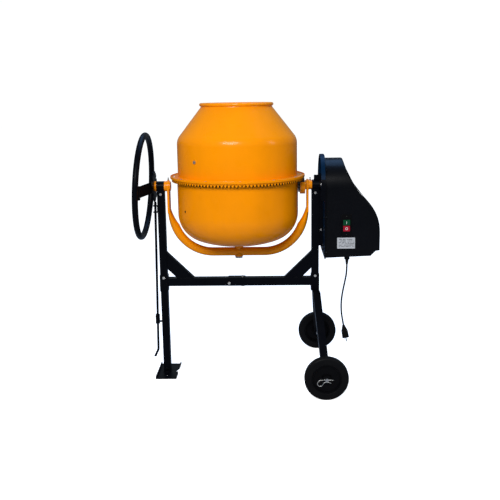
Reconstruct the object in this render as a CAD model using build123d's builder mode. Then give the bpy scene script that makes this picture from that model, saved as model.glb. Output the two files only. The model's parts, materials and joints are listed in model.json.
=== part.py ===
from build123d import *
import math
import os

# Tilting-drum concrete mixer, in millimetres: +Z up, origin on the floor under the middle of the machine.
# The drum turns on a spindle in a bent-tube yoke, the yoke tilts between two posts, and a bevel pinion on
# the tilt axis drives the drum's ring gear through a belt from the motor in the side housing.

# Driving dimensions
drum_x = -93.94            # the drum stands left of the middle of the machine
tilt_z = 960.0             # height of the tilt axis
drum_r = 290.0             # upper drum
bowl_r = 294.0             # lower bowl
drum_top = 1358.0
drum_bottom = 672.0
sheet = 3.0
post_x = 378.0             # each post's distance from the drum's axis
post_side = 36.0
post_foot = 473.0
tube_wall = 2.5
beam_side = 40.0
beam_z = 479.0
wheel_r = 103.0
wheel_x = 412.0
wheel_y = 366.0
handwheel_r = 263.0
handwheel_x = -462.0
plate_x = 415.0            # outer housing: inner face of its back plate
cover_reach = 680.0
running_gap = 0.05         # radial clearance of a shaft in its bush

# Places measured from the drum's axis
origin = Plane(origin=(drum_x, 0, 0))
front = Plane(origin=(drum_x, 0, 0), x_dir=(1, 0, 0), z_dir=(0, -1, 0))
drum_axis = Axis((drum_x, 0, 0), (0, 0, 1))
tilt_axis = Axis((drum_x, 0, tilt_z), (1, 0, 0))

os.makedirs("parts", exist_ok=True)


def save(piece, name):
    """Label a finished piece and write its STEP file."""
    piece.part.label = name
    export_step(piece.part, f"parts/{name}.step")


def across(x):
    """Plane square to the tilt axis, x from the drum's axis, local x along +Y and local y along +Z."""
    return Plane(origin=(drum_x + x, 0, 0), x_dir=(0, 1, 0), z_dir=(1, 0, 0))


def along_x(x, y, z):
    """Plane square to the tilt axis with its origin at a place beside or below that axis."""
    return Plane(origin=(drum_x + x, y, z), x_dir=(0, 1, 0), z_dir=(1, 0, 0))


def level(x, z, y=0):
    """Level plane, x from the drum's axis."""
    return Plane(origin=(drum_x + x, y, z))


def from_front(x, y, z):
    """Plane that faces the front, local z towards -Y."""
    return Plane(origin=(drum_x + x, y, z), x_dir=(1, 0, 0), z_dir=(0, -1, 0))


def on_tilt_axis(x):
    """Plane square to the tilt axis with its origin on that axis."""
    return Plane(origin=(drum_x + x, 0, tilt_z), x_dir=(0, 1, 0), z_dir=(1, 0, 0))


def ring(plane, outer, inner, length):
    """Plain tube or disc on a plane."""
    with BuildPart() as tube:
        with BuildSketch(plane):
            Circle(outer)
            if inner:
                Circle(inner, mode=Mode.SUBTRACT)
        extrude(amount=length)
    return tube.part


def block(plane, width, height, length, wall=0.0):
    """Plain bar, or a box-section tube when it has a wall."""
    with BuildPart() as bar:
        with BuildSketch(plane):
            Rectangle(width, height)
            if wall:
                Rectangle(width - 2 * wall, height - 2 * wall, mode=Mode.SUBTRACT)
        extrude(amount=length)
    return bar.part


def hex_bolt(flats, head, shank_r, grip, nut=0.0):
    """Bolt along -Z with its head above z = 0, and a nut under the grip when it has one."""
    with BuildPart() as bolt:
        with BuildSketch():
            RegularPolygon(flats / 2, 6, major_radius=False)
        extrude(amount=head)
        chamfer(bolt.faces().sort_by(Axis.Z)[-1].edges(), flats * 0.08)
        with BuildSketch():
            Circle(shank_r)
        extrude(amount=-(grip + nut))
        if nut:
            with BuildSketch(Plane.XY.offset(-grip)):
                RegularPolygon(flats / 2, 6, major_radius=False)
            extrude(amount=-nut)
    return bolt.part


# ---------------------------------------------------------------- drum
flange_z = 1004.0          # underside of the bowl's flange
flange_r = 327.0
lip_top = 1014.0
spindle_r = 10.0
flat_r = 45.0              # flat middle of the drum's bottom
knuckle_r = 137.0
knuckle_z = 829.0
knuckle_x = bowl_r - knuckle_r
bowl_drop = knuckle_z - drum_bottom
crown_r = ((knuckle_x - flat_r) ** 2 + bowl_drop ** 2 - knuckle_r ** 2) / (2 * (bowl_drop - knuckle_r))
crown_z = drum_bottom + crown_r
crown_end = math.degrees(math.atan2(knuckle_z - crown_z, knuckle_x - flat_r))
bolt_ring_r = 309.0        # bolts of flange and ring gear
first_bolt = -85.5         # degrees, just right of the front
upper_bolt = (-129.8, 1094.0, drum_r)
lower_bolt = (-145.2, 858.0, bowl_r)
blades = 2


def bowl_line(inset):
    """Bottom, crown, knuckle and wall, this far inside the bowl's outer face."""
    with BuildLine() as line:
        Line((spindle_r, drum_bottom + inset), (flat_r, drum_bottom + inset))
        CenterArc((flat_r, crown_z), crown_r - inset, -90, crown_end + 90)
        CenterArc((knuckle_x, knuckle_z), knuckle_r - inset, crown_end, -crown_end)
    return line.line


def wall_bolts(first):
    """Planes of the blade bolts, one per blade, facing out of the drum's wall."""
    angle, z, wall_r = first
    planes = []
    for index in range(blades):
        turn = math.radians(angle + index * 360 / blades)
        outward = (math.cos(turn), math.sin(turn), 0)
        spot = (drum_x + wall_r * outward[0], wall_r * outward[1], z)
        planes.append(Plane(origin=spot, x_dir=(0, 0, 1), z_dir=outward))
    return planes


def flange_bolt_places():
    """Twelve places round the flange."""
    return PolarLocations(bolt_ring_r, 12, start_angle=first_bolt)


with BuildPart() as drum_lower:
    with BuildSketch(front):
        with BuildLine():
            add(bowl_line(0))
            Polyline((bowl_r, knuckle_z), (bowl_r, flange_z), (flange_r, flange_z), (flange_r, lip_top),
                     (flange_r - sheet, lip_top), (flange_r - sheet, flange_z + sheet),
                     (bowl_r - sheet, flange_z + sheet), (bowl_r - sheet, knuckle_z))
            add(bowl_line(sheet))
            Line((spindle_r, drum_bottom), (spindle_r, drum_bottom + sheet))
        make_face()
        fillet(vertices().group_by(Axis.Y)[-1], 1.4)
    revolve(axis=drum_axis)
    with Locations(origin.offset(flange_z + sheet)):
        with flange_bolt_places():
            Hole(3.0, depth=sheet)
    for place in wall_bolts(lower_bolt):
        with Locations(place):
            Hole(4.1, depth=12)
    with Locations(origin.offset(drum_bottom + sheet)):
        with PolarLocations(32, 4, start_angle=45):
            Hole(4.0, depth=sheet)
save(drum_lower, "drum_lower")

# Open cone with a wired mouth
cone_sheet = 2.5
upper_flange_z = flange_z + sheet + cone_sheet / 2
wall_mid = drum_r - cone_sheet / 2
neck_mid = 169.7
bead_r = 8.0
with BuildPart() as drum_upper:
    with BuildSketch(front):
        with BuildLine():
            FilletPolyline((flange_r - sheet - 1, upper_flange_z), (wall_mid, upper_flange_z),
                           (wall_mid, 1187.0), (neck_mid, 1338.0), (neck_mid, drum_top - bead_r),
                           radius=[5.0, 60.0, 14.0])
        trace(line_width=cone_sheet)
        with Locations((neck_mid, drum_top - bead_r)):
            Circle(bead_r)
    revolve(axis=drum_axis)
    with Locations(origin.offset(upper_flange_z + cone_sheet)):
        with flange_bolt_places():
            Hole(3.0, depth=2 * cone_sheet)
    for place in wall_bolts(upper_bolt):
        with Locations(place):
            Hole(4.1, depth=12)
save(drum_upper, "drum_upper")

# Ring gear in four cast segments, teeth cut towards the apex where drum axis and tilt axis cross
ring_teeth = 120
pinion_teeth = 12
pitch_r = 310.0
pinion_pitch_r = pitch_r * pinion_teeth / ring_teeth
tooth_pitch = 2 * math.pi * pitch_r / ring_teeth
module = 2 * pitch_r / ring_teeth
pressure = math.radians(25)
flank_play = 0.3
ring_addendum = 0.7 * module
gear_inner = 297.0
gear_outer = 320.0
gear_root_z = 999.0


def ring_tooth():
    """One rack-shaped tooth under the flange on the +X side, tapering towards the apex."""
    with BuildPart() as tooth:
        for radius in (gear_inner, gear_outer):
            size = radius / pitch_r
            tip = -ring_addendum
            top = 9.5
            half = tooth_pitch / 4 - flank_play
            at_tip = (half + tip * math.tan(pressure)) * size
            at_top = (half + top * math.tan(pressure)) * size
            low = tilt_z + (pinion_pitch_r + tip) * size
            high = tilt_z + (pinion_pitch_r + top) * size
            with BuildSketch(across(radius)):
                with BuildLine():
                    Polyline((-at_tip, low), (at_tip, low), (at_top, high), (-at_top, high), close=True)
                make_face()
        loft(ruled=True)
    return tooth.part.moved(Location((-drum_x, 0, 0)))


with BuildPart() as ring_gear:
    with BuildSketch(origin.offset(gear_root_z)):
        Circle(gear_outer + 2)
        Circle(gear_inner - 1, mode=Mode.SUBTRACT)
    extrude(amount=flange_z - gear_root_z)
    with Locations(origin):
        with PolarLocations(0, ring_teeth, start_angle=180 / ring_teeth):
            add(ring_tooth())
    with Locations(origin.offset(flange_z)):
        with flange_bolt_places():
            Hole(3.0, depth=4.0)
    with BuildSketch(origin.offset(flange_z)):
        for turn in (0, 90):
            Rectangle(2 * flange_r, 0.6, rotation=turn)
    extrude(amount=-25, mode=Mode.SUBTRACT)
save(ring_gear, "ring_gear")

# Mixing blades: a slanted paddle on two feet each, bolted to the drum's wall
blade_thickness = 4.0
blade_inner = 195.0
bolt_aside = 14.0          # the bolts stand beside the paddle, in its feet
wall_inner = drum_r - sheet
bowl_inner = bowl_r - sheet


def bowl_space():
    """Space inside the drum's wall, from the bottom to well above the blades."""
    with BuildPart() as space:
        with BuildSketch(front):
            with BuildLine():
                add(bowl_line(sheet))
                Polyline((bowl_inner, knuckle_z), (bowl_inner, flange_z), (wall_inner, flange_z),
                         (wall_inner, 1200), (0, 1200), (0, drum_bottom + sheet),
                         (spindle_r, drum_bottom + sheet))
            make_face()
        revolve(axis=drum_axis)
    return space.part


def blade():
    """Paddle between its lower and upper bolt, with a curved foot at each end that lies on the wall."""
    low_turn, low_z = lower_bolt[:2]
    high_turn, high_z = upper_bolt[:2]
    middle = math.radians((low_turn + high_turn) / 2)
    half_turn = math.radians((high_turn - low_turn) / 2)
    rise = high_z - low_z
    shift = 2 * wall_inner * math.sin(half_turn)
    length = math.hypot(rise, shift)
    radial = Vector(math.cos(middle), math.sin(middle), 0)
    sideways = Vector(-math.sin(middle), math.cos(middle), 0)
    up = (sideways * shift + Vector(0, 0, rise)) * (1 / length)
    centre = Vector(drum_x, 0, (low_z + high_z) / 2)
    paddle_plane = Plane(origin=centre, x_dir=radial, z_dir=radial.cross(up)).offset(-bolt_aside)
    with BuildPart() as feet:
        with BuildSketch(paddle_plane.offset(-blade_thickness / 2)):
            for side in (-1, 1):
                with Locations((wall_inner - 5, side * length / 2)):
                    Rectangle(30, 40)
        extrude(amount=2 * bolt_aside)
        with BuildSketch(origin):
            Circle(wall_inner - blade_thickness)
        extrude(amount=drum_top, mode=Mode.SUBTRACT)
        with BuildSketch(origin):
            Circle(bowl_inner - blade_thickness)
        extrude(amount=flange_z, mode=Mode.SUBTRACT)
    with BuildPart() as paddle:
        with BuildSketch(paddle_plane.offset(-blade_thickness / 2)):
            with BuildLine():
                FilletPolyline((blade_inner, -length * 0.42), (blade_inner, length * 0.42),
                               (wall_inner - 8, length * 0.62), (wall_inner - 8, -length * 0.62),
                               radius=18, close=True)
            make_face()
            for side in (-1, 1):
                with Locations((wall_inner - 9, side * length / 2)):
                    Rectangle(34, 40)
        extrude(amount=blade_thickness)
        add(feet.part)
        add(bowl_space(), mode=Mode.INTERSECT)
        for bolts in (lower_bolt, upper_bolt):
            with Locations(wall_bolts(bolts)[0]):
                Hole(4.1, depth=40)
    return paddle.part


with BuildPart() as mixing_blades:
    paddle = blade().moved(Location((-drum_x, 0, 0)))
    with Locations(origin):
        with PolarLocations(0, blades):
            add(paddle)
save(mixing_blades, "mixing_blades")

# Spindle: flange plate inside the bowl, shaft down through the yoke's hub, nut below
hub_top = 667.0
hub_bottom = 607.0
spindle_end = 597.0
with BuildPart() as drum_spindle:
    add(ring(origin.offset(drum_bottom + sheet), 44, 0, 8))
    add(ring(origin.offset(drum_bottom), 18, 0, hub_top + 0.3 - drum_bottom))
    add(ring(origin.offset(drum_bottom + sheet), spindle_r, 0, spindle_end - drum_bottom - sheet))
    with Locations(origin.offset(drum_bottom + sheet + 8)):
        with PolarLocations(32, 4, start_angle=45):
            Hole(4.0, depth=8)
    with BuildSketch(origin.offset(spindle_end + 1.5)):
        RegularPolygon(16, 6, major_radius=False)
        Circle(spindle_r, mode=Mode.SUBTRACT)
    extrude(amount=7)
    chamfer(drum_spindle.faces().sort_by(Axis.Z)[0].edges(), 1.0)
save(drum_spindle, "drum_spindle")

with BuildPart() as drum_bolts:
    with Locations(origin.offset(upper_flange_z + cone_sheet / 2)):
        with flange_bolt_places():
            add(hex_bolt(11, 4.2, 3.0, 9.5))
    for place in wall_bolts(lower_bolt):
        with Locations(place):
            add(hex_bolt(10, 1.6, 4.0, 7.2, nut=6))
    for place in wall_bolts(upper_bolt):
        with Locations(place):
            add(hex_bolt(15, 5.5, 4.0, 7.2, nut=6))
    with Locations(origin.offset(drum_bottom + sheet + 8)):
        with PolarLocations(32, 4, start_angle=45):
            add(hex_bolt(13, 5.5, 4.0, 11, nut=4))
save(drum_bolts, "drum_bolts")

# ---------------------------------------------------------------- yoke
yoke_tube_r = 21.2
yoke_bend_r = 198.0
yoke_outer = 345.0
yoke_bottom_z = 631.0
arm_thickness = 10.0
arm_width = 58.0
arm_mid = yoke_outer - arm_thickness / 2
bend_x = yoke_outer - yoke_tube_r - yoke_bend_r
bend_z = yoke_bottom_z + yoke_bend_r
flat_end_z = 852.0
round_end_z = 762.0
trunnion_hole_r = 15.0
hub_outer_r = 19.0
hub_bush_r = 14.0
right_bore_r = 16.0

bend_turn = math.asin((bend_z - round_end_z) / yoke_bend_r)
round_end_x = bend_x + yoke_bend_r * math.cos(bend_turn)


def yoke_arm(side):
    """Flattened end of the tube and the flat lug round the trunnion; side is -1 left and 1 right."""
    tangent = (-side * math.sin(bend_turn), 0, -math.cos(bend_turn))
    middle_z = (flat_end_z + round_end_z) / 2
    with BuildPart() as arm:
        start = Plane(origin=(drum_x + side * round_end_x, 0, round_end_z), x_dir=(0, 1, 0), z_dir=tangent)
        with BuildSketch(start):
            Circle(yoke_tube_r)
        with BuildSketch(Plane(origin=(drum_x + side * 330.5, 0, middle_z), x_dir=(0, 1, 0),
                               z_dir=(-side * 0.1, 0, -1))):
            Ellipse(26.5, 13.5)
        with BuildSketch(Plane(origin=(drum_x + side * (arm_mid - 0.4), 0, flat_end_z), x_dir=(0, 1, 0),
                               z_dir=(0, 0, -1))):
            Ellipse(arm_width / 2 + 1, arm_thickness / 2 + 0.4)
        loft()
        with BuildSketch(across(side * arm_mid - arm_thickness / 2)):
            with Locations((0, (tilt_z + flat_end_z - 24) / 2)):
                Rectangle(arm_width, tilt_z - flat_end_z + 24)
            with Locations((0, tilt_z)):
                Circle(arm_width / 2)
        extrude(amount=arm_thickness)
    return arm.part


with BuildPart() as yoke_tube:
    with BuildLine(front) as tube_line:
        Line((-bend_x, yoke_bottom_z), (bend_x, yoke_bottom_z))
        for side in (-1, 1):
            sweep_deg = 90 - math.degrees(bend_turn)
            CenterArc((side * bend_x, bend_z), yoke_bend_r, -90, side * sweep_deg)
    with BuildSketch(across(0)):
        with Locations((0, yoke_bottom_z)):
            Circle(yoke_tube_r)
            Circle(yoke_tube_r - sheet, mode=Mode.SUBTRACT)
    sweep(path=tube_line.wires()[0])
    for side in (-1, 1):
        add(yoke_arm(side))
    add(ring(origin.offset(hub_bottom), hub_outer_r, 0, hub_top - hub_bottom))
    add(ring(origin.offset(hub_bottom), hub_bush_r, 0, hub_top - hub_bottom), mode=Mode.SUBTRACT)
    add(ring(on_tilt_axis(-yoke_outer), trunnion_hole_r, 0, arm_thickness), mode=Mode.SUBTRACT)
    add(ring(on_tilt_axis(yoke_outer - arm_thickness), 20.0, 0, arm_thickness), mode=Mode.SUBTRACT)
save(yoke_tube, "yoke_tube")

# Left trunnion: solid shaft with an inner disc and an outer collar
bearing_outer_r = 25.0
left_bearing = (-398.0, -360.0)
right_bearing = (362.0, 397.0)
left_shaft_r = 12.5
shaft_left_end = -424.0
disc_span = (-412.5, -407.0)
with BuildPart() as left_trunnion:
    add(ring(on_tilt_axis(-335), 23.5, 0, 6))
    add(ring(on_tilt_axis(-yoke_outer), trunnion_hole_r, 0, arm_thickness))
    add(ring(on_tilt_axis(left_bearing[1] + 0.4), bearing_outer_r, 0, -yoke_outer - left_bearing[1] - 0.4))
    add(ring(on_tilt_axis(shaft_left_end), left_shaft_r, 0, -shaft_left_end - 345))
    chamfer(left_trunnion.faces().sort_by(Axis.X)[-1].edges(), 1.5)
save(left_trunnion, "left_trunnion")

with BuildPart() as trunnion_collar:
    add(ring(on_tilt_axis(disc_span[1]), bearing_outer_r, left_shaft_r, left_bearing[0] - 0.3 - disc_span[1]))
    chamfer(trunnion_collar.faces().sort_by(Axis.X)[-1].edges().sort_by(SortBy.LENGTH)[-1], 1.0)
save(trunnion_collar, "trunnion_collar")

# Right trunnion: hollow, the pinion shaft runs through it
with BuildPart() as right_trunnion:
    add(ring(on_tilt_axis(328), 23, 0, 7))
    add(ring(on_tilt_axis(335), 20, 0, 67))
    add(ring(on_tilt_axis(345), 23, 0, 16.6))
    add(ring(on_tilt_axis(328), right_bore_r, 0, 74), mode=Mode.SUBTRACT)
save(right_trunnion, "right_trunnion")

shaft_r = 10.0
bush_bore = shaft_r + running_gap
with BuildPart() as yoke_bushes:
    for low in (hub_bottom, hub_top - 22):
        add(ring(origin.offset(low), hub_bush_r, spindle_r + running_gap, 22))
    for low in (328, 384):
        add(ring(on_tilt_axis(low), right_bore_r, bush_bore, 18))
save(yoke_bushes, "yoke_bushes")

# Guard round the underside of the pinion
guard_r = 41.0
guard_top = 18.0
with BuildPart() as pinion_guard:
    with BuildSketch(on_tilt_axis(304)):
        Circle(guard_r + 2.5)
        with Locations((0, guard_top / 2)):
            Rectangle(2 * guard_r + 5, guard_top)
        Circle(guard_r, mode=Mode.SUBTRACT)
        with Locations((0, 50 + guard_top)):
            Rectangle(120, 100, mode=Mode.SUBTRACT)
        with Locations((0, 25)):
            Rectangle(2 * guard_r, 50, mode=Mode.SUBTRACT)
    extrude(amount=21.5)
    with BuildSketch(on_tilt_axis(325.5)):
        Circle(guard_r + 2.5)
        with Locations((0, guard_top / 2)):
            Rectangle(2 * guard_r + 5, guard_top)
        with Locations((0, 50 + guard_top)):
            Rectangle(120, 100, mode=Mode.SUBTRACT)
        Circle(bush_bore + 1, mode=Mode.SUBTRACT)
    extrude(amount=2.5)
save(pinion_guard, "pinion_guard")

# Lock disc: twelve notches for the lock rod
disc_r = 75.0
notch_width = 13.6
notch_depth = 15.0
with BuildPart() as lock_disc:
    with BuildSketch(on_tilt_axis(disc_span[0])):
        Circle(disc_r)
        Circle(left_shaft_r, mode=Mode.SUBTRACT)
        with PolarLocations(disc_r, 12):
            Rectangle(2 * notch_depth, notch_width, mode=Mode.SUBTRACT)
    extrude(amount=disc_span[1] - disc_span[0])
save(lock_disc, "lock_disc")

# Handwheel: bent tube rim held by one dished bar; the rim is twisted about the bar, its top leaning right
rim_tube_r = 14.6
rim_wall = 2.0
rim_mid_r = handwheel_r - rim_tube_r
rim_twist = math.radians(3.6)
rim_centre = Vector(drum_x + handwheel_x, 0, tilt_z)
rim_axis = Axis(rim_centre, (math.cos(rim_twist), 0, -math.sin(rim_twist)))
rim_top = Plane(origin=rim_centre, x_dir=(math.cos(rim_twist), 0, -math.sin(rim_twist)), z_dir=(0, -1, 0))
bar_turn = math.radians(1)
bar_sheet = 5.0
bar_width = 54.0
boss_left = -432.0
boss_r = 20.0
bar_flat_x = disc_span[0] - bar_sheet / 2 - 0.5
bar_plane = Plane(origin=(drum_x, 0, tilt_z), x_dir=(1, 0, 0),
                  z_dir=(0, -math.sin(bar_turn), math.cos(bar_turn)))


def rim_ring(inner):
    """The rim's torus, hollow when it has an inner radius."""
    with BuildPart() as torus:
        with BuildSketch(rim_top):
            with Locations((0, rim_mid_r)):
                Circle(rim_tube_r)
                if inner:
                    Circle(inner, mode=Mode.SUBTRACT)
        revolve(axis=rim_axis)
    return torus.part


with BuildPart() as handwheel_rim:
    add(rim_ring(rim_tube_r - rim_wall))
save(handwheel_rim, "handwheel_rim")

with BuildPart() as handwheel_bar:
    with BuildSketch(bar_plane.offset(-bar_width / 2)):
        with BuildLine():
            FilletPolyline((handwheel_x, -rim_mid_r), (handwheel_x + 6, -rim_mid_r + 22), (bar_flat_x, -44),
                           (bar_flat_x, 44), (handwheel_x + 6, rim_mid_r - 22), (handwheel_x, rim_mid_r),
                           radius=14)
        trace(line_width=bar_sheet)
    extrude(amount=bar_width)
    for side in (-1, 1):
        with BuildSketch(bar_plane.offset(-32)):
            with Locations((handwheel_x + 7, side * (rim_mid_r - 16))):
                RectangleRounded(26, 22, 5)
        extrude(amount=64)
    add(rim_ring(0), mode=Mode.SUBTRACT)
    add(ring(on_tilt_axis(boss_left), boss_r, 0, disc_span[0] - boss_left))
    add(ring(on_tilt_axis(boss_left - 8), left_shaft_r, 0, 40), mode=Mode.SUBTRACT)
save(handwheel_bar, "handwheel_bar")

with BuildPart() as yoke_fittings:
    with BuildSketch(on_tilt_axis(boss_left)):
        RegularPolygon(15, 6, major_radius=False)
    extrude(amount=-9)
    add(ring(on_tilt_axis(boss_left), 10, 0, 8))
    for x, base in ((-arm_mid, arm_width / 2), (353.0, 23.0)):
        nipple = Plane(origin=(drum_x + x, 0, tilt_z + base - 0.4))
        add(ring(nipple, 4.0, 0, 5))
        add(ring(nipple.offset(5), 2.4, 0, 6))
        add(ring(nipple.offset(10), 3.2, 0, 3.5))
save(yoke_fittings, "yoke_fittings")

# ---------------------------------------------------------------- drive on the tilt axis
gear_span = (295.0, 325.0)
pinion_addendum = 1.0 * module
pinion_dedendum = 1.05 * module


def pinion_outline(size):
    """Involute tooth outline of the pinion, scaled with its distance from the apex."""
    base_r = pinion_pitch_r * math.cos(pressure)
    tip_r = pinion_pitch_r + pinion_addendum
    root_r = pinion_pitch_r - pinion_dedendum
    half_pitch = math.pi / (2 * pinion_teeth) - flank_play / pinion_pitch_r
    involute = math.tan(pressure) - pressure
    points = []
    for tooth in range(pinion_teeth):
        middle = math.pi / 2 + tooth * 2 * math.pi / pinion_teeth
        flank = []
        for step in range(5):
            radius = base_r + (tip_r - base_r) * (step / 4) ** 1.4
            roll = math.acos(min(1.0, base_r / radius))
            flank.append((radius, half_pitch + involute - (math.tan(roll) - roll)))
        flank.insert(0, (root_r, flank[0][1]))
        for radius, away in flank:
            points.append((radius, middle - away))
        for radius, away in reversed(flank):
            points.append((radius, middle + away))
    return [(size * radius * math.cos(turn), size * radius * math.sin(turn)) for radius, turn in points]


with BuildPart() as drive_pinion:
    for x in gear_span:
        with BuildSketch(on_tilt_axis(x)):
            with BuildLine():
                Polyline(pinion_outline(x / pitch_r), close=True)
            make_face()
    loft(ruled=True)
    with Locations(on_tilt_axis(gear_span[1])):
        Hole(shaft_r)
save(drive_pinion, "drive_pinion")

driven_r = 114.0
motor_pulley_r = 19.0
pulley_span = (428.0, 447.0)
motor_z = 710.0
rim_height = 4.0
shaft_end = 460.0
with BuildPart() as pinion_shaft:
    add(ring(on_tilt_axis(gear_span[0]), shaft_r, 0, shaft_end - gear_span[0]))
    chamfer(pinion_shaft.edges(), 1.0)
save(pinion_shaft, "pinion_shaft")


def pulley(plane, radius, bore, rim_depth):
    """Flat-bottomed belt pulley between two low flanges."""
    width = pulley_span[1] - pulley_span[0]
    with BuildPart() as wheel:
        with BuildSketch(plane):
            Circle(radius + rim_height)
            Circle(bore, mode=Mode.SUBTRACT)
        extrude(amount=width)
        with BuildSketch(plane.offset(2.5)):
            Circle(radius + rim_height + 1)
            Circle(radius, mode=Mode.SUBTRACT)
        extrude(amount=width - 5, mode=Mode.SUBTRACT)
        if rim_depth:
            for start in (0, width - 6):
                with BuildSketch(plane.offset(start)):
                    Circle(radius - rim_depth)
                    Circle(bore + 12, mode=Mode.SUBTRACT)
                extrude(amount=6, mode=Mode.SUBTRACT)
    return wheel.part


with BuildPart() as driven_pulley:
    add(pulley(on_tilt_axis(pulley_span[0]), driven_r, shaft_r, 10))
    with Locations(on_tilt_axis(pulley_span[1])):
        with PolarLocations(62, 6):
            Hole(16)
save(driven_pulley, "driven_pulley")

motor_axis = Plane(origin=(drum_x, 0, motor_z), x_dir=(0, 1, 0), z_dir=(1, 0, 0))
motor_shaft_r = 7.0
motor_span = (454.0, 612.0)
motor_r = 64.0
with BuildPart() as motor_pulley:
    add(pulley(motor_axis.offset(pulley_span[0]), motor_pulley_r, motor_shaft_r, 0))
save(motor_pulley, "motor_pulley")

with BuildPart() as motor_rotor:
    add(ring(motor_axis.offset(pulley_span[0] - 3), motor_shaft_r, 0, 160))
    add(ring(motor_axis.offset(480), 34, 0, 80))
    chamfer(motor_rotor.faces().filter_by(Axis.X).sort_by(Axis.X)[0].edges(), 0.8)
save(motor_rotor, "motor_rotor")

belt_gap = 0.4
belt_thickness = 4.5


def belt_loop(extra):
    """Tight loop round both pulleys, this far outside their belt faces."""
    with BuildSketch(motor_axis.offset(pulley_span[0] + 3.2)) as loop:
        with BuildSketch(mode=Mode.PRIVATE) as wheels:
            Circle(motor_pulley_r + extra)
            with Locations((0, tilt_z - motor_z)):
                Circle(driven_r + extra)
        make_hull(wheels.sketch.edges())
    return loop.sketch


with BuildPart() as drive_belt:
    extrude(belt_loop(belt_gap + belt_thickness), amount=12.6)
    extrude(belt_loop(belt_gap), amount=12.6, mode=Mode.SUBTRACT)
save(drive_belt, "drive_belt")

# ---------------------------------------------------------------- frame
post_inner = post_x - post_side / 2
post_outer = post_x + post_side / 2
bolt_r = 4.0
bolt_play = 0.1
sleeve_low = 432.0
sleeve_high = 515.0
sleeve_side = post_side + 2 * tube_wall
saddle_span = (-56.0, 30.0)
beam_joint = -13.0
stub_side = post_side - 2 * tube_wall
post_bolt_z = 922.0
sleeve_bolts = {-1: 502.0, 1: 508.0}


def cross_hole(x, z):
    """Clearance hole from front to back for a frame bolt."""
    return ring(from_front(x, 40, z), bolt_r + bolt_play, 0, 80)


for side, name in ((-1, "left_post"), (1, "right_post")):
    x = side * post_x
    with BuildPart() as post:
        add(block(level(x, post_foot), post_side, post_side,
                  tilt_z - 10 - post_foot, tube_wall))
        add(ring(on_tilt_axis(x - 40), bearing_outer_r, 0, 80), mode=Mode.SUBTRACT)
        add(cross_hole(x, post_bolt_z), mode=Mode.SUBTRACT)
        add(cross_hole(x, sleeve_bolts[side]), mode=Mode.SUBTRACT)
    save(post, name)

bush_outer = {-1: 16.0, 1: 22.5}
bush_inner = {-1: left_shaft_r, 1: 20.0}
for side, name, span in ((-1, "left_bearing", left_bearing), (1, "right_bearing", right_bearing)):
    x = side * post_x
    with BuildPart() as bearing:
        add(ring(on_tilt_axis(span[0]), bearing_outer_r, 0, span[1] - span[0]))
        add(block(level(x, 895), stub_side, stub_side, tilt_z - 895))
        add(ring(on_tilt_axis(span[0] - 5), bush_outer[side], 0, span[1] - span[0] + 10), mode=Mode.SUBTRACT)
        add(cross_hole(x, post_bolt_z), mode=Mode.SUBTRACT)
    save(bearing, name)

with BuildPart() as trunnion_bushes:
    for side, span in ((-1, left_bearing), (1, right_bearing)):
        add(ring(on_tilt_axis(span[0]), bush_outer[side], bush_inner[side] + running_gap, span[1] - span[0]))
save(trunnion_bushes, "trunnion_bushes")

# Cross beam: two halves, each welded to the sleeve round its post's joint
for side, name in ((-1, "left_beam"), (1, "right_beam")):
    x = side * post_x
    sleeve_face = x - side * sleeve_side / 2
    beam_length = abs(sleeve_face - beam_joint)
    with BuildPart() as beam:
        add(block(level(x, sleeve_low), sleeve_side, sleeve_side,
                  sleeve_high - sleeve_low, tube_wall))
        with BuildSketch(across(sleeve_face)):
            with Locations((0, beam_z)):
                Rectangle(beam_side, beam_side)
                Rectangle(beam_side - 2 * tube_wall, beam_side - 2 * tube_wall, mode=Mode.SUBTRACT)
        extrude(amount=-side * beam_length)
        add(cross_hole(x, sleeve_bolts[side]), mode=Mode.SUBTRACT)
        add(cross_hole(-50, 473), mode=Mode.SUBTRACT)
        add(ring(Plane(origin=(drum_x + 16, 0, 440)), bolt_r + bolt_play, 0, 80), mode=Mode.SUBTRACT)
    save(beam, name)

saddle_top = beam_z + beam_side / 2 + tube_wall
with BuildPart() as beam_saddle:
    with BuildSketch(across(saddle_span[0])):
        with Locations((0, beam_z + tube_wall / 2)):
            Rectangle(beam_side + 2 * tube_wall, beam_side + tube_wall)
        with Locations((0, beam_z)):
            Rectangle(beam_side, beam_side, mode=Mode.SUBTRACT)
    extrude(amount=saddle_span[1] - saddle_span[0])
    add(cross_hole(-50, 473), mode=Mode.SUBTRACT)
    add(ring(Plane(origin=(drum_x + 16, 0, 440)), bolt_r + bolt_play, 0, 80), mode=Mode.SUBTRACT)
save(beam_saddle, "beam_saddle")

# Braces between posts and beam
beam_top = beam_z + beam_side / 2
for side, name in ((-1, "left_brace"), (1, "right_brace")):
    with BuildPart() as brace:
        with BuildSketch(from_front(0, 15, 0)):
            with BuildLine():
                Polyline((side * post_inner, 632), (side * post_inner, 548),
                         (side * (post_inner - 50), beam_top), (side * (post_inner - 136), beam_top),
                         close=True)
            make_face()
        extrude(amount=30)
        with BuildSketch(from_front(0, 15 - tube_wall, 0)):
            with BuildLine():
                Polyline((side * (post_inner + 5), 632), (side * (post_inner + 5), 551),
                         (side * (post_inner - 56.5), beam_top - 3), (side * (post_inner - 136), beam_top - 3),
                         close=True)
            make_face()
        extrude(amount=30 - 2 * tube_wall, mode=Mode.SUBTRACT)
    save(brace, name)

# Left leg and its foot plate
foot_span = (-425.0, -320.0)
foot_half = 108.0
foot_sheet = 4.0
foot_bolt_z = 22.0
anchor_hole_r = 6.0
anchor_y = 65.0
with BuildPart() as left_leg:
    add(block(level(-post_x, foot_sheet), post_side, post_side,
              post_foot - foot_sheet, tube_wall))
    add(cross_hole(-post_x, foot_bolt_z), mode=Mode.SUBTRACT)
save(left_leg, "left_leg")

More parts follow.
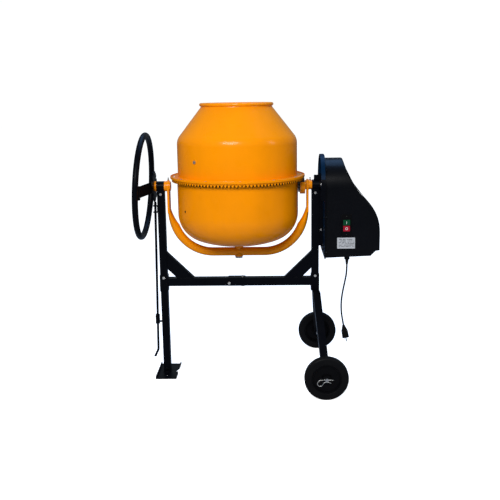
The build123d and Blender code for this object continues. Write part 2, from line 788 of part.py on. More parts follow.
foot_mid = (foot_span[0] + foot_span[1]) / 2
with BuildPart() as foot_plate:
    with BuildSketch(across(foot_span[0])):
        Rectangle(2 * foot_half, foot_sheet, align=(Align.CENTER, Align.MIN))
    extrude(amount=foot_span[1] - foot_span[0])
    for low in (foot_span[0], foot_span[1] - foot_sheet):
        with BuildSketch(across(low)):
            Rectangle(2 * foot_half, 15, align=(Align.CENTER, Align.MIN))
        extrude(amount=foot_sheet)
    fillet(foot_plate.edges().filter_by(Axis.Y).group_by(Axis.Z)[0], 3)
    with BuildSketch(origin):
        with BuildLine():
            Polyline((foot_span[1] + 2, -46), (foot_span[1] - 14, 0), (foot_span[1] + 2, 46), close=True)
        make_face()
    extrude(amount=30, mode=Mode.SUBTRACT)
    with BuildSketch(origin):
        with Locations((foot_mid, -anchor_y), (foot_mid, anchor_y)):
            Circle(anchor_hole_r)
    extrude(amount=20, mode=Mode.SUBTRACT)
    add(block(level(-post_x, foot_sheet), stub_side, stub_side, 50, 3))
    add(cross_hole(-post_x, foot_bolt_z), mode=Mode.SUBTRACT)
save(foot_plate, "foot_plate")

# Wheel stand: two splayed legs under the right post
stand_side = 36.0
stand_top = Vector(drum_x + 380, 12, 462)
stand_end = Vector(drum_x + wheel_x, wheel_y - 16, wheel_r)
leg_cut_y = wheel_y - 24.0
axle_r = 8.0
for side, name in ((-1, "front_stand_leg"), (1, "rear_stand_leg")):
    top = Vector(stand_top.X, side * stand_top.Y, stand_top.Z)
    end = Vector(stand_end.X, side * stand_end.Y, stand_end.Z)
    down = (end - top).normalized()
    leg_plane = Plane(origin=top - down * 40, x_dir=(1, 0, 0), z_dir=down)
    reach = (end - top).length + 80
    with BuildPart() as leg:
        with BuildSketch(leg_plane):
            Rectangle(stand_side, stand_side)
            Rectangle(stand_side - 2 * tube_wall, stand_side - 2 * tube_wall, mode=Mode.SUBTRACT)
        extrude(amount=reach)
        with BuildSketch(leg_plane.offset(reach - 90)):
            Rectangle(stand_side, stand_side)
        extrude(amount=90)
        add(block(Plane(origin=(drum_x + 400, side * (leg_cut_y + 100), 0)), 200, 200, 400),
            mode=Mode.SUBTRACT)
        add(block(Plane(origin=(drum_x + 400, -side * 100, 300)), 200, 200, 300), mode=Mode.SUBTRACT)
        add(block(Plane(origin=(drum_x + 400, 0, sleeve_low)), 200, 200, 200), mode=Mode.SUBTRACT)
        add(ring(from_front(wheel_x, side * wheel_y + 100, wheel_r), axle_r, 0, 200), mode=Mode.SUBTRACT)
    save(leg, name)

# Axle bolts, washer and wheel clip at each side, for both wheels
axle_end = 397.0
hub_inner = 344.0
hub_outer = 388.0
clip_y = 392.0
wire_r = 1.5
with BuildPart() as wheel_axles:
    for side in (-1, 1):
        outward = Plane(origin=(drum_x + wheel_x, side * 300, wheel_r), x_dir=(1, 0, 0), z_dir=(0, side, 0))
        add(ring(outward, axle_r, 0, axle_end - 300))
        add(ring(outward.offset(leg_cut_y - 300), 15, 0, hub_inner - 0.3 - leg_cut_y))
        add(ring(Plane(origin=(drum_x + wheel_x - 20, side * clip_y, wheel_r), z_dir=(1, 0, 0)),
                 wire_r + 0.1, 0, 40), mode=Mode.SUBTRACT)
save(wheel_axles, "wheel_axles")

# Clip: a straight pin through the axle, an open eye below its left end, and an arm under the axle
clip_route = [(30, 0), (-14, 0), (-36, -2), (-45, -17), (-36, -32), (-22, -27), (-13, -13), (-7, -10.8),
              (9, -10.8), (20, -15)]
clip_bends = [12, 9, 10, 8, 9, 5, 3, 6]
with BuildPart() as wheel_clips:
    for side in (-1, 1):
        clip = Plane(origin=(drum_x + wheel_x, side * clip_y, wheel_r), x_dir=(1, 0, 0), z_dir=(0, -1, 0))
        with BuildLine(clip) as clip_line:
            FilletPolyline(*clip_route, radius=clip_bends)
        with BuildSketch(Plane(origin=clip_line.line @ 0, x_dir=(0, 1, 0), z_dir=clip_line.line % 0)):
            Circle(wire_r)
        sweep(path=clip_line.line)
save(wheel_clips, "wheel_clips")

for side, name in ((-1, "front"), (1, "rear")):
    wheel_axis = Axis((drum_x + wheel_x, 0, wheel_r), (0, 1, 0))
    section = Plane(origin=(drum_x + wheel_x, 0, wheel_r), x_dir=(0, side, 0), z_dir=(side, 0, 0))
    with BuildPart() as wheel:
        with BuildSketch(section):
            with BuildLine():
                Polyline((hub_inner, 8.1), (hub_outer, 8.1), (hub_outer, 20), (hub_outer - 12, 24),
                         (hub_outer - 12, 62), (hub_outer - 5, 64), (hub_outer - 5, 70),
                         (hub_inner + 5, 70), (hub_inner + 5, 64), (hub_outer - 18, 62),
                         (hub_outer - 18, 24), (hub_inner, 20), close=True)
            make_face()
        revolve(axis=wheel_axis)
    save(wheel, f"{name}_wheel")
    with BuildPart() as tyre:
        with BuildSketch(section):
            with Locations((wheel_y, (wheel_r + 70) / 2)):
                Rectangle(40, wheel_r - 70)
            fillet(vertices().group_by(Axis.Y)[-1], 9)
            fillet(vertices().group_by(Axis.Y)[0], 2)
            for groove in (-9, 9):
                with Locations((wheel_y + groove, wheel_r)):
                    Rectangle(2.5, 5, mode=Mode.SUBTRACT)
        revolve(axis=wheel_axis)
    save(tyre, f"{name}_tyre")

# ---------------------------------------------------------------- lock rod and its guides
rod_top = (-408.5, 884.5)
rod_low = (-422.0, 122.0)
rod_tip = (-440.0, 84.0)
rod_r = 6.0
rod_hole_r = 6.3
rod_lean = (rod_top[0] - rod_low[0]) / (rod_top[1] - rod_low[1])
rod_way = (rod_lean, 0, 1)


def rod_x(z):
    """Distance of the lock rod from the drum's axis at a height."""
    return rod_low[0] + rod_lean * (z - rod_low[1])


def rod_plane(z):
    """Plane square to the lock rod."""
    return Plane(origin=(drum_x + rod_x(z), 0, z), x_dir=(0, 1, 0), z_dir=rod_way)


with BuildPart() as lock_rod:
    with BuildLine(front) as rod_line:
        FilletPolyline(rod_top, rod_low, rod_tip, radius=22)
    with BuildSketch(Plane(origin=rod_line.line @ 0, x_dir=(0, 1, 0), z_dir=rod_line.line % 0)):
        Circle(rod_r)
    sweep(path=rod_line.line)
    add(ring(along_x(rod_x(874) - 8, 0, 874), 2.5, 0, 16),
        mode=Mode.SUBTRACT)
save(lock_rod, "lock_rod")

with BuildPart() as lock_pin:
    add(ring(along_x(rod_x(874) - 10, 0, 874), 2.5, 0, 19))
save(lock_pin, "lock_pin")

upper_guide = (830.0, 866.0)
with BuildPart() as upper_rod_guide:
    add(block(Plane(origin=(drum_x - (post_outer + 1.5), 0, upper_guide[0])), 3, 26,
              upper_guide[1] - upper_guide[0]))
    for low in (upper_guide[0], upper_guide[1] - 5):
        with BuildSketch(Plane.XY.offset(low)):
            with Locations((drum_x - post_outer - 11, 0)):
                Rectangle(22, 22)
            with Locations((drum_x - post_outer - 22, 0)):
                Rectangle(3, 14)
        extrude(amount=5)
    add(ring(rod_plane(upper_guide[0] - 10), rod_hole_r, 0, 60), mode=Mode.SUBTRACT)
save(upper_rod_guide, "upper_rod_guide")

lower_guide = (260.0, 308.0)
guide_arm_z = 271.0
screw_z = 297.0
with BuildPart() as lower_rod_guide:
    add(ring(rod_plane(lower_guide[0]), 11, 0, lower_guide[1] - lower_guide[0]))
    arm_start = rod_x(guide_arm_z)
    add(ring(along_x(arm_start, 0, guide_arm_z), 5, 0,
             -post_outer - arm_start))
    add(ring(rod_plane(lower_guide[0] - 5), rod_hole_r, 0, 60), mode=Mode.SUBTRACT)
    add(ring(along_x(-446, 0, screw_z), 3, 0, 446 + rod_x(screw_z)),
        mode=Mode.SUBTRACT)
save(lower_rod_guide, "lower_rod_guide")

# ---------------------------------------------------------------- drive housing
plate_sheet = 3.0
plate_half = 150.0
arch_z = 959.0
plate_bottom = 620.0
cover_start = plate_x + plate_sheet
cover_half = 131.0
cover_sheet = 2.5
rim_depth = 16.0           # folded edge round the top of the back plate
bracket_wall = 3.0
bracket_span = (660.0, 935.0)
bracket_bolt_z = 740.0
strap_z = 996.0
cradle_bolt_z = (650.0, 668.0)
plate_screws = [(side * 141.0, z) for z in (650.0, 820.0) for side in (-1, 1)]
arch_screws = [(141 * math.cos(math.radians(turn)), arch_z + 141 * math.sin(math.radians(turn)))
               for turn in (35, 145)]


def arch(plane, half, low):
    """Flat-bottomed plate with a round top, on a plane square to the tilt axis."""
    with BuildSketch(plane) as outline:
        with Locations((0, (arch_z + low) / 2)):
            Rectangle(2 * half, arch_z - low)
        with Locations((0, arch_z)):
            Circle(half)
        with Locations((0, low - 500)):
            Rectangle(1000, 1000, mode=Mode.SUBTRACT)
    return outline.sketch


def screw_places():
    """Planes of the cover's flange screws, heads to the left."""
    return [Plane(origin=(drum_x + plate_x, y, z), x_dir=(0, 1, 0), z_dir=(-1, 0, 0))
            for y, z in plate_screws + arch_screws]


with BuildPart() as back_plate:
    extrude(arch(across(plate_x - rim_depth), plate_half, arch_z - 60), amount=rim_depth)
    extrude(arch(across(plate_x - rim_depth), plate_half - plate_sheet, arch_z - 100), amount=rim_depth,
            mode=Mode.SUBTRACT)
    extrude(arch(across(plate_x), plate_half, plate_bottom), amount=plate_sheet)
    add(ring(on_tilt_axis(plate_x - 5), 15, 0, 20), mode=Mode.SUBTRACT)
    for place in screw_places():
        add(ring(place.offset(-20), 3.1, 0, 40), mode=Mode.SUBTRACT)
    add(ring(along_x(plate_x - 5, 0, 1025), 4.0, 0, 20),
        mode=Mode.SUBTRACT)
    for y in (-50, 50):
        for z in cradle_bolt_z:
            add(ring(along_x(plate_x - 5, y, z), 4.1, 0, 20),
                mode=Mode.SUBTRACT)
save(back_plate, "back_plate")

with BuildPart() as plate_brackets:
    bracket_mid = (post_outer + plate_x) / 2
    add(block(Plane(origin=(drum_x + bracket_mid, 0, bracket_span[0])), plate_x - post_outer, post_side,
              bracket_span[1] - bracket_span[0], bracket_wall))
    add(cross_hole(407, bracket_bolt_z), mode=Mode.SUBTRACT)
    with BuildSketch(across(372)):
        with Locations((0, strap_z)):
            Rectangle(28, 22)
        with Locations((0, tilt_z)):
            Circle(bearing_outer_r, mode=Mode.SUBTRACT)
    extrude(amount=plate_x - 372)
save(plate_brackets, "plate_brackets")


def cover_side(inset):
    """S-shaped side of the housing, this far inside its outer face."""
    far = cover_reach - inset
    low = plate_bottom + inset
    with BuildSketch(from_front(0, 500, 0)) as side_view:
        with BuildLine():
            Polyline((cover_start - 1, low), (637 - 0.4 * inset, 628 + inset),
                     (661 - 0.4 * inset, 652 + inset), (far, 655 + inset), (far, 694))
            Spline((far, 694), (673 - inset, 798), (650 - 0.8 * inset, 853), (590 - 0.8 * inset, 928),
                   (550 - 0.9 * inset, 982), (523 - inset, 1036), (509 - inset, 1080),
                   tangents=[(0, 1), (-0.2, 1)])
            Polyline((509 - inset, 1080), (505 - inset, 1105), (cover_start - 1, 1105),
                     (cover_start - 1, low))
        make_face()
    return side_view.sketch


def cover_solid(inset):
    """Housing shape: the side view cut by the arched end view."""
    with BuildPart() as solid:
        extrude(arch(across(cover_start), cover_half - inset, plate_bottom + inset), amount=300)
        extrude(cover_side(inset), amount=1000, mode=Mode.INTERSECT)
    return solid.part


switch_x = 519.5
switch_z = 779.0
switch_body = (42.0, 96.0)
gland_x = 526.0
gland_y = -105.0
cover_front = -cover_half
with BuildPart() as drive_cover:
    add(cover_solid(0))
    outer_edges = drive_cover.faces().filter_by(Axis.Y).edges().filter_by(
        lambda edge: edge.center().X > drum_x + cover_start + 5)
    fillet(outer_edges, 9)
    add(cover_solid(cover_sheet), mode=Mode.SUBTRACT)
    extrude(arch(across(cover_start), plate_half - 4, plate_bottom), amount=plate_sheet)
    extrude(arch(across(cover_start), cover_half - 12, plate_bottom + 12), amount=plate_sheet,
            mode=Mode.SUBTRACT)
    for place in screw_places():
        add(ring(place.offset(-20), 3.1, 0, 40), mode=Mode.SUBTRACT)
    with BuildSketch(from_front(switch_x, cover_front + 10, switch_z)):
        Rectangle(switch_body[0] + 1, switch_body[1] + 1)
    extrude(amount=20, mode=Mode.SUBTRACT)
    with BuildSketch(Plane(origin=(drum_x + gland_x, gland_y, plate_bottom - 5))):
        Circle(8.0)
    extrude(amount=20, mode=Mode.SUBTRACT)
save(drive_cover, "drive_cover")

# Motor and its cradle
cradle_z = motor_z - motor_r - 6
with BuildPart() as motor_shell:
    with BuildSketch(motor_axis.offset(motor_span[0])):
        Circle(motor_r)
        with PolarLocations(motor_r, 24):
            Rectangle(5, 3.5)
    extrude(amount=motor_span[1] - motor_span[0])
    for start, length in ((motor_span[0], 22), (motor_span[1] - 22, 22)):
        add(ring(motor_axis.offset(start), motor_r + 2.4, 0, length))
    add(ring(motor_axis.offset(motor_span[0] + 14), motor_r - 8, 0, motor_span[1] - motor_span[0] - 28),
        mode=Mode.SUBTRACT)
    add(ring(motor_axis.offset(motor_span[0] - 1), motor_shaft_r + running_gap, 0, 30), mode=Mode.SUBTRACT)
    add(block(Plane(origin=(drum_x + 535, 0, cradle_z)), 110, 70, 14))
    add(ring(motor_axis.offset(motor_span[0] + 14), motor_r - 8, 0, motor_span[1] - motor_span[0] - 28),
        mode=Mode.SUBTRACT)
save(motor_shell, "motor_shell")

with BuildPart() as motor_bracket:
    add(block(Plane(origin=(drum_x + 510, 0, cradle_z - 5)), 184, 120, 5))
    with BuildSketch(across(cover_start)):
        with Locations((0, cradle_z + 15)):
            Rectangle(130, 42)
        with Locations((0, motor_z)):
            Circle(motor_pulley_r + 14, mode=Mode.SUBTRACT)
    extrude(amount=4)
    for y in (-50, 50):
        for z in cradle_bolt_z:
            add(ring(along_x(plate_x - 5, y, z), 4.1, 0, 20),
                mode=Mode.SUBTRACT)
save(motor_bracket, "motor_bracket")

# Push-button switch, blank data plate, gland
button_width = 32.0
button_height = 26.0
button_travel = 2.5
buttons = {"start_button": 793.5, "stop_button": 764.5}
face_y = cover_front - 6.0
well_depth = 14.0
with BuildPart() as power_switch:
    with BuildSketch(from_front(switch_x, cover_front, switch_z)):
        RectangleRounded(48, 105, 3)
    extrude(amount=6)
    fillet(power_switch.faces().sort_by(Axis.Y)[0].edges(), 1.0)
    with BuildSketch(from_front(switch_x, cover_front, switch_z)):
        Rectangle(switch_body[0], switch_body[1])
    extrude(amount=-36)
    with BuildSketch(from_front(switch_x, face_y, switch_z)):
        RectangleRounded(40, 62, 2)
        RectangleRounded(35.4, 57.4, 1, mode=Mode.SUBTRACT)
    extrude(amount=1.5)
    for z in buttons.values():
        with BuildSketch(from_front(switch_x, face_y, z)):
            RectangleRounded(button_width + 0.6, button_height + 0.6, 1.8)
        extrude(amount=-well_depth, mode=Mode.SUBTRACT)
    for z in (switch_z - 44, switch_z + 44):
        with Locations(from_front(switch_x, face_y, z)):
            CounterSinkHole(1.6, 3.0, depth=12)
save(power_switch, "power_switch")

for name, z in buttons.items():
    with BuildPart() as button:
        with BuildSketch(from_front(switch_x, face_y + well_depth - button_travel - 0.5, z)):
            RectangleRounded(button_width, button_height, 1.5)
        extrude(amount=well_depth - button_travel - 0.5 + 3.0)
        fillet(button.faces().sort_by(Axis.Y)[0].edges(), 0.8)
    save(button, name)

with BuildPart() as data_plate:
    with BuildSketch(from_front(518.5, cover_front, 693.5)):
        RectangleRounded(85, 53, 2)
    extrude(amount=0.6)
save(data_plate, "data_plate")

gland_low = 585.0
cord_r = 4.0
with BuildPart() as cord_gland:
    with BuildSketch(Plane(origin=(drum_x + gland_x, gland_y, plate_bottom))):
        RegularPolygon(11, 6, major_radius=False)
    extrude(amount=-11)
    with BuildSketch(Plane(origin=(drum_x + gland_x, gland_y, plate_bottom))):
        Circle(7.9)
    extrude(amount=8)
    with BuildSketch(Plane(origin=(drum_x + gland_x, gland_y, plate_bottom - 11))):
        Circle(8.0)
    with BuildSketch(Plane(origin=(drum_x + gland_x, gland_y, gland_low))):
        Circle(cord_r + 1)
    loft()
save(cord_gland, "cord_gland")

# Power cord: hangs from the gland, ends in its plug
cord_points = [(526, -105, 585), (526, -105, 546), (517.5, -105, 499), (507, -105, 448.5),
               (500.5, -105, 398), (501, -105, 348), (506.5, -105, 312), (513, -105, 277.5)]
cord_points = [Vector(x + drum_x, y, z) for x, y, z in cord_points]
cord_radii = []
for before, corner, after in zip(cord_points, cord_points[1:], cord_points[2:]):
    turn = (corner - before).get_angle(after - corner)
    shorter = min((corner - before).length, (after - corner).length)
    cord_radii.append(0.45 * shorter / math.tan(math.radians(turn) / 2))
print("cord radii:", [round(radius) for radius in cord_radii])
with BuildPart() as power_cord:
    with BuildLine() as cord_line:
        FilletPolyline(*cord_points, radius=cord_radii)
    with BuildSketch(Plane(origin=cord_line.line @ 0, x_dir=(0, 1, 0), z_dir=cord_line.line % 0)):
        Circle(cord_r)
    sweep(path=cord_line.line)
cord_length = cord_line.wires()[0].length
print("cord length:", round(cord_length, 1), "volume ratio:",
      round(power_cord.part.volume / (math.pi * cord_r ** 2 * cord_length), 4))
save(power_cord, "power_cord")

plug_way = (cord_points[-1] - cord_points[-2]).normalized()
plug_plane = Plane(origin=cord_points[-1], x_dir=(0, 1, 0), z_dir=plug_way)
plug_length = 63.0
with BuildPart() as plug_body:
    for at, width, depth in ((0, 12, 12), (11, 18, 16), (30, 31, 24), (plug_length, 33, 26)):
        with BuildSketch(plug_plane.offset(at)):
            RectangleRounded(depth, width, 5.2)
    loft(ruled=True)
save(plug_body, "plug_body")

with BuildPart() as plug_prongs:
    with BuildSketch(plug_plane.offset(plug_length)):
        for across_plug in (-6.35, 6.35):
            with Locations((3.5, across_plug)):
                Rectangle(6.3, 1.6)
    extrude(amount=18)
    with BuildSketch(plug_plane.offset(plug_length)):
        with Locations((-6.5, 0)):
            Circle(2.4)
    extrude(amount=21)
save(plug_prongs, "plug_prongs")

# ---------------------------------------------------------------- frame fasteners
with BuildPart() as frame_bolts:
    for side in (-1, 1):
        x = side * post_x
        with Locations(from_front(x, -post_side / 2, post_bolt_z)):
            add(hex_bolt(13, 5.5, bolt_r, post_side, nut=6.5))
        with Locations(from_front(x, -sleeve_side / 2, sleeve_bolts[side])):
            add(hex_bolt(13, 5.5, bolt_r, sleeve_side, nut=6.5))
    with Locations(from_front(-50, -beam_side / 2 - tube_wall, 473)):
        add(hex_bolt(13, 5.5, bolt_r, beam_side + 2 * tube_wall, nut=6.5))
    with Locations(Plane(origin=(drum_x + 16, 0, saddle_top))):
        add(hex_bolt(13, 5.5, bolt_r, saddle_top - beam_z + beam_side / 2, nut=6.5))
    with Locations(from_front(-post_x, -post_side / 2, foot_bolt_z)):
        add(hex_bolt(13, 5.5, bolt_r, post_side, nut=6.5))
    with Locations(from_front(407, -post_side / 2, bracket_bolt_z)):
        add(hex_bolt(11, 5.0, bolt_r, post_side, nut=6.0))
    with Locations(Plane(origin=(drum_x + plate_x, 0, 1025), x_dir=(0, 1, 0), z_dir=(-1, 0, 0))):
        add(hex_bolt(13, 7.0, bolt_r, plate_sheet))
    for y in (-50, 50):
        for z in cradle_bolt_z:
            with Locations(Plane(origin=(drum_x + plate_x, y, z), x_dir=(0, 1, 0), z_dir=(-1, 0, 0))):
                add(hex_bolt(13, 5.5, bolt_r, plate_sheet + 4, nut=6.5))
    screw_plane = Plane(origin=(drum_x + rod_x(screw_z) - 11, 0, screw_z), x_dir=(0, 1, 0), z_dir=(-1, 0, 0))
    with Locations(screw_plane.offset(2.0)):
        add(hex_bolt(9, 8.0, 3.0, 6.4))
    for place in screw_places():
        with Locations(place):
            add(hex_bolt(9, 3.5, 3.0, 2 * plate_sheet, nut=4.5))
save(frame_bolts, "frame_bolts")
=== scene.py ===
"""Looks of the tilting-drum concrete mixer, in metres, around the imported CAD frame."""
import json
import math

import bmesh
import bpy
from mathutils import Matrix, Vector


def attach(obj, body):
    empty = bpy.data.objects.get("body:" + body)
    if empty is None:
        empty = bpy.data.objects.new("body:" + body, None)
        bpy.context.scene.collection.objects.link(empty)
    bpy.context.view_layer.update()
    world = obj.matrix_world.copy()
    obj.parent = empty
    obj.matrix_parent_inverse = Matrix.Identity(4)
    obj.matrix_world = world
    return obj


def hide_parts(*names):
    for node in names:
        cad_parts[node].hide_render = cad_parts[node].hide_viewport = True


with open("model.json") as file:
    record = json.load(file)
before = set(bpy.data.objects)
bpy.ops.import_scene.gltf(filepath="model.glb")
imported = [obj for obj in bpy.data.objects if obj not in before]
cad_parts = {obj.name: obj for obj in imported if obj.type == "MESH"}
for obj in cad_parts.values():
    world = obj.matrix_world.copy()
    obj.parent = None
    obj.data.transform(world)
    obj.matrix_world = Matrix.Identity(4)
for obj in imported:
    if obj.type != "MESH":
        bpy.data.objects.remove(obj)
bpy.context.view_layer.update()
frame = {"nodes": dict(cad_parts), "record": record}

nodes = frame["nodes"]
scene = bpy.context.scene

# Driving places and sizes, in metres: they repeat the CAD's own dimensions
DRUM_X = -0.09394
TILT_Z = 0.96
POST_X = 0.378
POST_HALF = 0.018
SLEEVE_HALF = 0.0205
BEAM_Z = 0.479
BEAM_HALF = 0.020
BRACE_HALF = 0.015
BRACE_LOW = 0.548            # ends of a brace's face on its post
BRACE_HIGH = 0.632
BRACE_NEAR = 0.050           # ends of its face on the beam, from the post's face
BRACE_FAR = 0.136
BEARING_R = 0.025
FOOT_TOP = 0.004
BRACKET_LOW = 0.660
BRACKET_HIGH = 0.935
YOKE_TUBE_R = 0.0212
YOKE_BOTTOM = 0.631          # middle of the yoke's lowest tube
HUB_R = 0.019
TRUNNION_X = 0.345
TRUNNION_R = {"left": 0.025, "right": 0.023}
SWITCH = Vector((DRUM_X + 0.5195, -0.131, 0.779))
BUTTON_PROUD = 0.009         # from the housing's front to a button's face
BUTTON_OFFSET = 0.0145       # from the switch's middle to each button's
SCREW_OFFSET = 0.044         # from the switch's middle to each screw
LABEL = Vector((DRUM_X + 0.5185, -0.1316, 0.6935))
GLAND = Vector((DRUM_X + 0.526, -0.105, 0.609))
CORD_R = 0.004

# Beads of weld end short of an edge, and run just outside a round piece
BEAD_INSET = 0.001
BEAD_OUT = 0.0002

# Strength of the light from all round
WORLD_LIGHT = 0.28


# ---------------------------------------------------------------- camera and cord
def make_camera():
    """Camera at the reference viewing angle: in front of the machine, looking slightly down."""
    place = Vector((0.07051, -3.67796, 1.39927))
    yaw, pitch, roll = (math.radians(angle) for angle in (-1.70, -11.71, -0.85))
    ahead = Vector((math.sin(yaw) * math.cos(pitch), math.cos(yaw) * math.cos(pitch), math.sin(pitch)))
    right = ahead.cross(Vector((0, 0, 1))).normalized()
    up = right.cross(ahead)
    right, up = math.cos(roll) * right + math.sin(roll) * up, math.cos(roll) * up - math.sin(roll) * right
    data = bpy.data.cameras.new("camera")
    data.sensor_width = 36.0
    data.lens = 54.35
    data.clip_end = 60.0
    camera = bpy.data.objects.new("camera", data)
    turn = Matrix((right, up, -ahead)).transposed().to_4x4()
    camera.matrix_world = Matrix.Translation(place) @ turn
    scene.collection.objects.link(camera)
    scene.camera = camera


def nurbs_curve(name, points, radius):
    """Round tube along one smooth line through the inside of a route's corners.

    The points carry the radius, because a curve's bounds reach that far past each point."""
    data = bpy.data.curves.new(name, "CURVE")
    data.dimensions = "3D"
    data.bevel_depth = 1.0
    data.bevel_resolution = 5
    data.resolution_u = 12
    data.use_fill_caps = True
    line = data.splines.new("NURBS")
    line.points.add(len(points) - 1)
    for point, place in zip(line.points, points):
        point.co = (*place, 1.0)
        point.radius = radius
    line.order_u = 3
    line.use_endpoint_u = True
    piece = bpy.data.objects.new(name, data)
    scene.collection.objects.link(piece)
    return piece


make_camera()

CORD_ROUTE = [Vector((DRUM_X + x, y, z)) for x, y, z in (
    (0.526, -0.105, 0.585), (0.526, -0.105, 0.546), (0.5175, -0.105, 0.499), (0.507, -0.105, 0.4485),
    (0.5005, -0.105, 0.398), (0.501, -0.105, 0.348), (0.5065, -0.105, 0.312), (0.513, -0.105, 0.2775))]
cord = nurbs_curve("power_cord_line", CORD_ROUTE, CORD_R)
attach(cord, "frame")
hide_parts("power_cord")


# ---------------------------------------------------------------- materials
class Finish:
    """A material with its node tree at hand."""

    def __init__(self, name, colour, metallic=0.0, roughness=0.5, specular=0.5):
        self.material = bpy.data.materials.new(name)
        self.material.use_nodes = True
        self.tree = self.material.node_tree
        self.shader = self.tree.nodes["Principled BSDF"]
        self.shader.inputs["Base Color"].default_value = (*colour, 1.0)
        self.shader.inputs["Metallic"].default_value = metallic
        self.shader.inputs["Roughness"].default_value = roughness
        self.shader.inputs["Specular IOR Level"].default_value = specular
        self.place = self.tree.nodes.new("ShaderNodeTexCoord").outputs["Object"]

    def add(self, kind, **settings):
        """New node with its properties set."""
        node = self.tree.nodes.new(kind)
        for key, value in settings.items():
            setattr(node, key, value)
        return node

    def link(self, start, end):
        self.tree.links.new(start, end)

    def noise(self, scale, detail=4.0, rough=0.55, stretch=None):
        """Noise over the object's own coordinates, in cycles per metre."""
        node = self.add("ShaderNodeTexNoise")
        node.inputs["Scale"].default_value = scale
        node.inputs["Detail"].default_value = detail
        node.inputs["Roughness"].default_value = rough
        source = self.place
        if stretch:
            mapping = self.add("ShaderNodeMapping")
            mapping.inputs["Scale"].default_value = stretch
            self.link(source, mapping.inputs["Vector"])
            source = mapping.outputs["Vector"]
        self.link(source, node.inputs["Vector"])
        return node.outputs["Fac"]

    def span(self, source, low, high, out_low, out_high):
        """A value moved from one range to another, held at its ends."""
        node = self.add("ShaderNodeMapRange")
        ends = {"From Min": low, "From Max": high, "To Min": out_low, "To Max": out_high}
        for key, value in ends.items():
            node.inputs[key].default_value = value
        self.link(source, node.inputs["Value"])
        return node.outputs["Result"]

    def mix(self, factor, first, second):
        """Colour mix; each end is a colour or a socket."""
        node = self.add("ShaderNodeMix", data_type="RGBA")
        self.link(factor, node.inputs["Factor"])
        for value, socket in ((first, node.inputs["A"]), (second, node.inputs["B"])):
            if isinstance(value, bpy.types.NodeSocket):
                self.link(value, socket)
            else:
                socket.default_value = (*value[:3], 1.0)
        return node.outputs["Result"]

    def calculate(self, operation, first, second):
        """Result of a math node; the second value is a number or a socket."""
        node = self.add("ShaderNodeMath", operation=operation)
        self.link(first, node.inputs[0])
        if isinstance(second, bpy.types.NodeSocket):
            self.link(second, node.inputs[1])
        else:
            node.inputs[1].default_value = second
        return node.outputs[0]

    def part(self, source, axis):
        """One coordinate of a vector."""
        node = self.add("ShaderNodeSeparateXYZ")
        self.link(source, node.inputs["Vector"])
        return node.outputs[axis]

    def paint(self, socket):
        self.link(socket, self.shader.inputs["Base Color"])

    def rough(self, source, low, high, out_low, out_high):
        self.link(self.span(source, low, high, out_low, out_high), self.shader.inputs["Roughness"])

    def bump(self, source, depth, strength=1.0):
        """Relief of this depth in metres."""
        node = self.add("ShaderNodeBump")
        node.inputs["Strength"].default_value = strength
        node.inputs["Distance"].default_value = depth
        self.link(source, node.inputs["Height"])
        if self.shader.inputs["Normal"].is_linked:
            before = self.shader.inputs["Normal"].links[0].from_socket
            self.link(before, node.inputs["Normal"])
        self.link(node.outputs["Normal"], self.shader.inputs["Normal"])

    def coat(self, weight, roughness):
        self.shader.inputs["Coat Weight"].default_value = weight
        self.shader.inputs["Coat Roughness"].default_value = roughness


def shade(colour, amount):
    """A colour made darker or lighter."""
    return tuple(min(1.0, part * amount) for part in colour[:3])


ORANGE = (0.92, 0.28, 0.0)
BLACK = (0.0012, 0.0015, 0.0028)
ZINC = (0.72, 0.71, 0.68)


def enamel(name, colour, peel=1.0, cast=False):
    """Sprayed gloss enamel: slight thickness streaks, orange peel and a few dark chips."""
    finish = Finish(name, colour, roughness=0.3, specular=0.05)
    cloud = finish.noise(3.2, 3.0)
    streak = finish.noise(9.0, 5.0, stretch=(1.0, 1.0, 0.18))
    tone = finish.mix(finish.span(cloud, 0.3, 0.7, 0.0, 1.0), shade(colour, 0.92), shade(colour, 1.04))
    tone = finish.mix(finish.span(streak, 0.5, 0.78, 0.0, 0.25), tone, shade(colour, 0.74))
    chip_mask = finish.span(finish.noise(95.0, 6.0, 0.7), 0.735, 0.77, 0.0, 0.8)
    tone = finish.mix(chip_mask, tone, (0.13, 0.045, 0.008))
    finish.paint(tone)
    finish.rough(finish.noise(14.0, 6.0), 0.3, 0.75, 0.22, 0.40)
    finish.bump(finish.noise(420.0, 2.0), 0.00012 * peel, 0.5)
    if cast:
        finish.bump(finish.noise(900.0, 5.0, 0.7), 0.0004, 0.8)
    finish.coat(0.22, 0.17)
    return finish.material


def powder_coat(name, colour, grain=1.0, gloss=0.34, sheen=0.0):
    """Black powder coat: fine texture, faint dust and rubbed places."""
    finish = Finish(name, colour, roughness=gloss, specular=0.045)
    cloud = finish.noise(5.0, 5.0)
    tone = finish.mix(finish.span(cloud, 0.35, 0.75, 0.0, 0.8), colour, shade(colour, 1.8))
    scuff = finish.noise(26.0, 8.0, 0.72, stretch=(1.0, 1.0, 0.35))
    tone = finish.mix(finish.span(scuff, 0.70, 0.79, 0.0, 0.2), tone, (0.03, 0.03, 0.032))
    finish.paint(tone)
    finish.rough(finish.noise(18.0, 6.0, 0.65), 0.3, 0.75, gloss - 0.08, gloss + 0.12)
    finish.bump(finish.noise(1500.0, 3.0), 0.00010 * grain, 0.55)
    if sheen:
        finish.coat(sheen, 0.22)
    return finish.material


